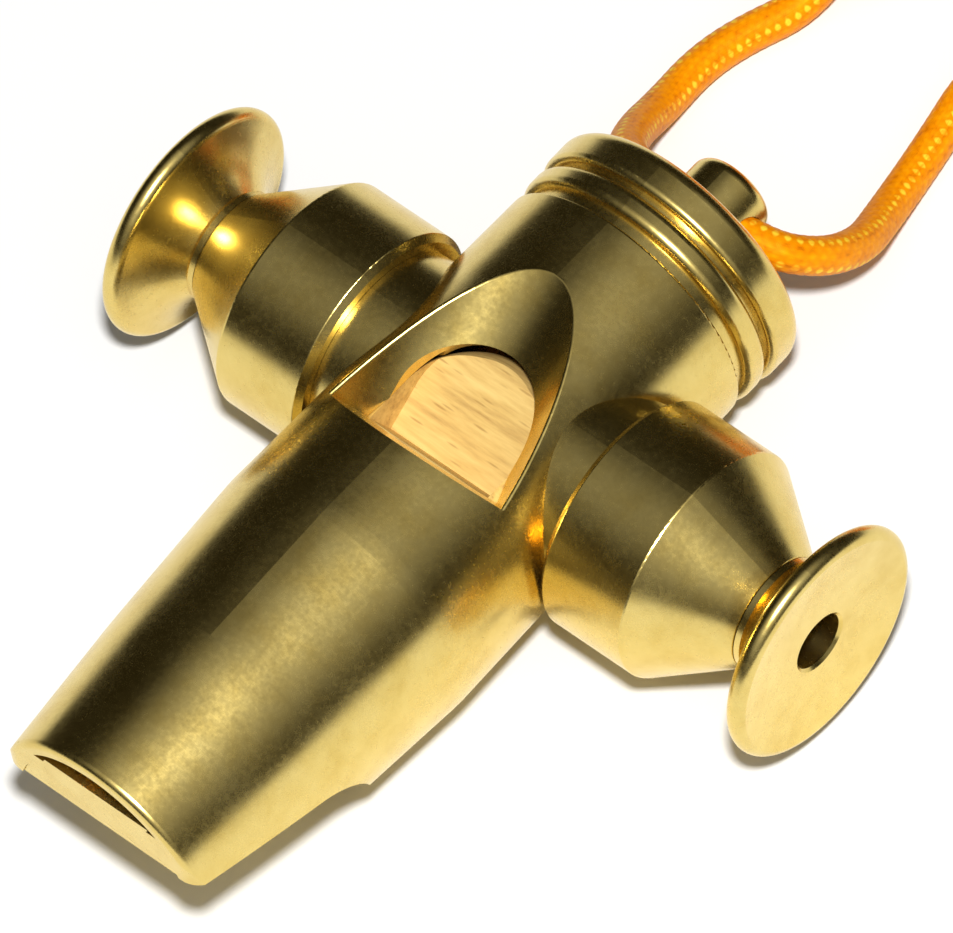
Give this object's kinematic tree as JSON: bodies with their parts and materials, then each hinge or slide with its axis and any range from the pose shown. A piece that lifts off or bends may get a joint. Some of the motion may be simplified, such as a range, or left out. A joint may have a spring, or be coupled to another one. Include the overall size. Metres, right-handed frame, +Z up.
{
  "type": "lanyard whistle",
  "caption": "Small turned brass whistle with a bitten mouthpiece, a tone window over a wooden block, hollow side arms with flared bells, and a braided neck cord.",
  "frame": {"origin": "on the surface the whistle lies on, under the middle of its length and of its arms", "axes": "+Y from the mouthpiece to the end cap, +X along the right-hand arm, +Z up through the tone window"},
  "size_m": [0.056, 0.1289, 0.0209],
  "materials": {
    "brass": "satin turned, lightly polished",
    "beech": "bare, cut and sanded",
    "cord": "satin braid with metallic flecks",
    "tie": "matte strip"
  },
  "bodies": {
    "body": {"main_tube": "brass", "windway_plug": "brass", "wooden_block": "beech", "end_cap": "brass", "lanyard_stud": "brass", "cord_right_run": "cord", "cord_left_run": "cord", "cord_coil": "cord", "cord_knot": "cord", "cord_tie": "tie", "right_nipple": "brass", "right_collar": "brass", "right_barrel": "brass", "left_nipple": "brass", "left_collar": "brass", "left_barrel": "brass"},
    "right_bell": {"right_bell": "brass"},
    "left_bell": {"left_bell": "brass"}
  },
  "joints": [
    {"name": "right_bell_screw", "type": "hinge", "parent": "body", "child": "right_bell", "pos_m": [0.0236, 0.008, 0.01045], "axis": [1, 0, 0], "range_deg": [0, 270]},
    {"name": "left_bell_screw", "type": "hinge", "parent": "body", "child": "left_bell", "pos_m": [-0.0236, 0.008, 0.01045], "axis": [-1, 0, 0], "range_deg": [0, 270]}
  ]
}
